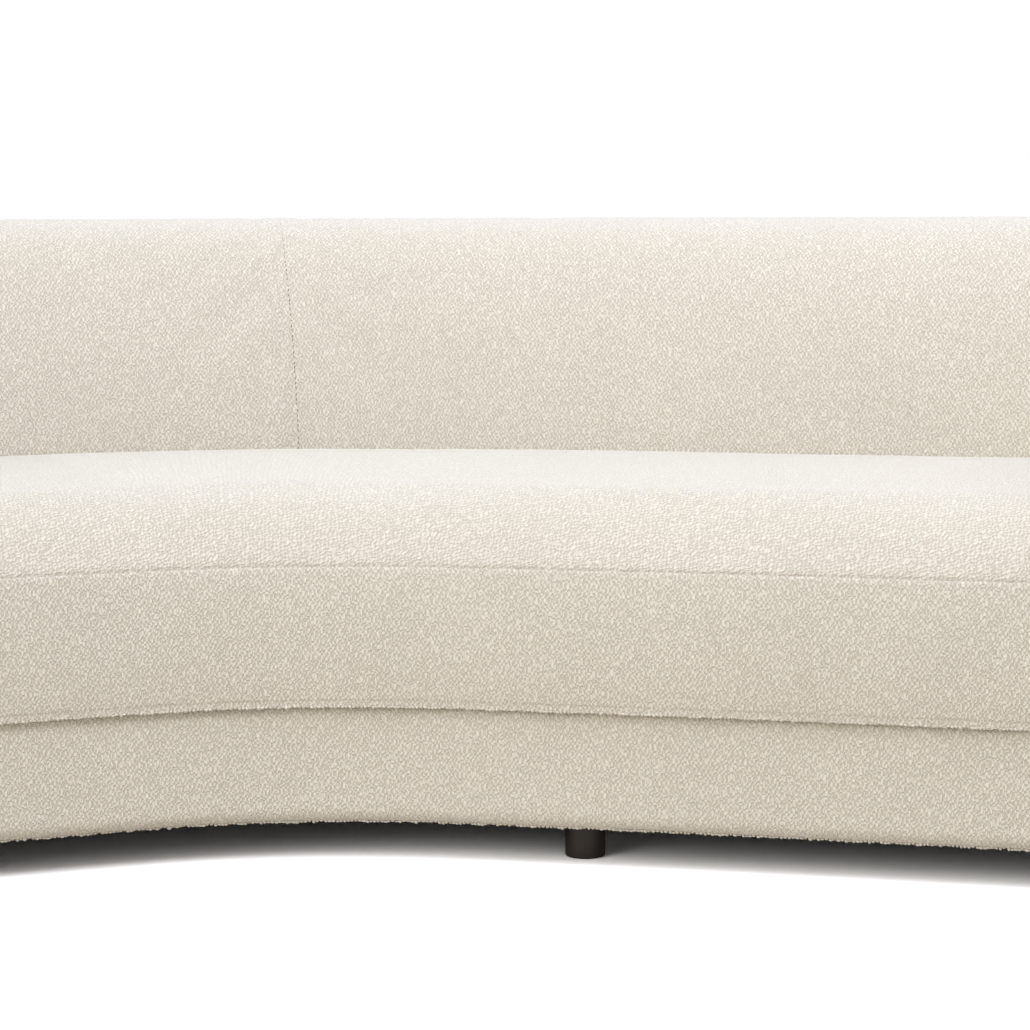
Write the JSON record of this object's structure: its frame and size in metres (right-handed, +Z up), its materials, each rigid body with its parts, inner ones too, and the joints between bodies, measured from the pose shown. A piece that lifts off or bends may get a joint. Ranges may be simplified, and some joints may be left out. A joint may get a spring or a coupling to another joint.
{
  "type": "curved sofa",
  "caption": "Long curved sofa with a tight wrap-round back, rounded arms, a crowned bench seat over a recessed upholstered base, and short round legs.",
  "frame": {"origin": "on the floor, under the middle of the bounding box", "axes": "+X along the sofa to its right end as seen from the front, +Y from the front to the back, +Z up"},
  "size_m": [2.7272, 1.1576, 0.787],
  "materials": {
    "cloth": "looped yarn, matt",
    "dark_wood": "dark stain, satin",
    "timber": "bare planed",
    "board": "bare pressed board",
    "foam": "open-cell foam, matt",
    "felt": "matt felt",
    "webbing": "woven elastic strap",
    "dust_cloth": "thin non-woven cloth",
    "steel": "zinc plated"
  },
  "bodies": {
    "root": {"arm_post_left": "timber", "arm_post_right": "timber", "back_foam_left": "foam", "back_foam_right": "foam", "back_rib_1": "timber", "back_rib_2": "timber", "back_rib_3": "timber", "back_rib_4": "timber", "back_rib_5": "timber", "back_sill": "timber", "base_cover": "cloth", "base_end_rail_left": "timber", "base_end_rail_right": "timber", "base_front_rail": "timber", "base_padding": "foam", "base_rear_rail": "timber", "cross_rail_1": "timber", "cross_rail_2": "timber", "cross_rail_3": "timber", "cross_rail_4": "timber", "dust_cover_left": "dust_cloth", "dust_cover_right": "dust_cloth", "groove_spacer": "timber", "inside_back_cover_left": "cloth", "inside_back_cover_right": "cloth", "leg_bolt_front_1": "steel", "leg_bolt_front_2": "steel", "leg_bolt_front_3": "steel", "leg_bolt_front_4": "steel", "leg_bolt_rear_1": "steel", "leg_bolt_rear_2": "steel", "leg_bolt_rear_3": "steel", "leg_bolt_rear_4": "steel", "leg_front_1": "dark_wood", "leg_front_2": "dark_wood", "leg_front_3": "dark_wood", "leg_front_4": "dark_wood", "leg_rear_1": "dark_wood", "leg_rear_2": "dark_wood", "leg_rear_3": "dark_wood", "leg_rear_4": "dark_wood", "outside_back_board": "board", "outside_back_cover": "cloth", "seat_cover": "cloth", "seat_end_rail_left": "timber", "seat_end_rail_right": "timber", "seat_felt_pad": "felt", "seat_foam": "foam", "seat_front_rail": "timber", "seat_rear_rail": "timber", "seat_webbing_1": "webbing", "seat_webbing_2": "webbing", "seat_webbing_3": "webbing", "seat_webbing_4": "webbing", "seat_webbing_5": "webbing", "seat_webbing_6": "webbing", "seat_webbing_7": "webbing", "seat_webbing_8": "webbing", "top_rail": "timber"}
  },
  "joints": []
}
